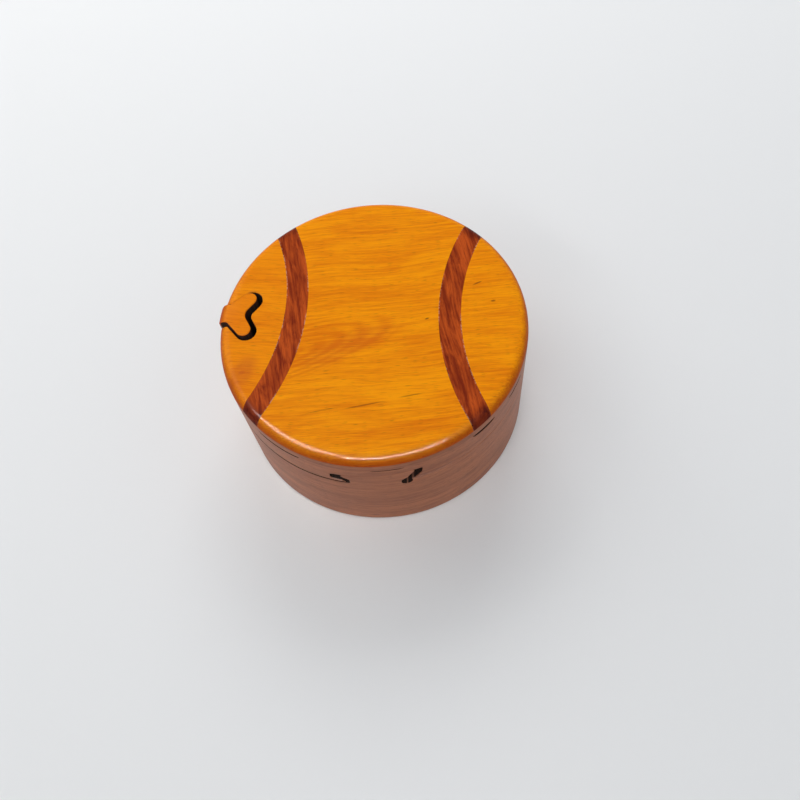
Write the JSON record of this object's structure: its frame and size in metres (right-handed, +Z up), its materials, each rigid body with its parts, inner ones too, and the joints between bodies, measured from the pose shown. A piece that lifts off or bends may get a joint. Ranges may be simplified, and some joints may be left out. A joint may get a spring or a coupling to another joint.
{
  "type": "wooden puzzle box",
  "caption": "Round wooden trinket box with an inlaid ball-seam top; a jigsaw-shaped key lifts out of the lid so the dovetailed lid can slide off.",
  "frame": {"origin": "centre of the flat underside, on the box's own axis", "axes": "+Z up through the lid; the lid slides along Y, with -Y the front; the key is on the -X side"},
  "size_m": [0.1007, 0.1, 0.048],
  "materials": {
    "side_wood": "satin",
    "gold_wood": "gloss",
    "band_wood": "gloss",
    "felt": "matte"
  },
  "bodies": {
    "base": {"box_wall": "side_wood", "bottom_plate": "side_wood", "felt_floor": "felt"},
    "lid": {"lid_core": "side_wood", "lid_backing": "side_wood", "centre_panel": "gold_wood", "left_panel": "gold_wood", "right_panel": "gold_wood", "left_band": "band_wood", "right_band": "band_wood"},
    "key": {"key_cap": "gold_wood", "key_backing": "side_wood", "key_stem": "side_wood"}
  },
  "joints": [
    {"name": "lid_slide", "type": "slide", "parent": "base", "child": "lid", "axis": [0, 1, 0], "range_m": [-0.104, 0.104]},
    {"name": "key_lift", "type": "slide", "parent": "lid", "child": "key", "axis": [0, 0, 1], "range_m": [0, 0.02]}
  ]
}
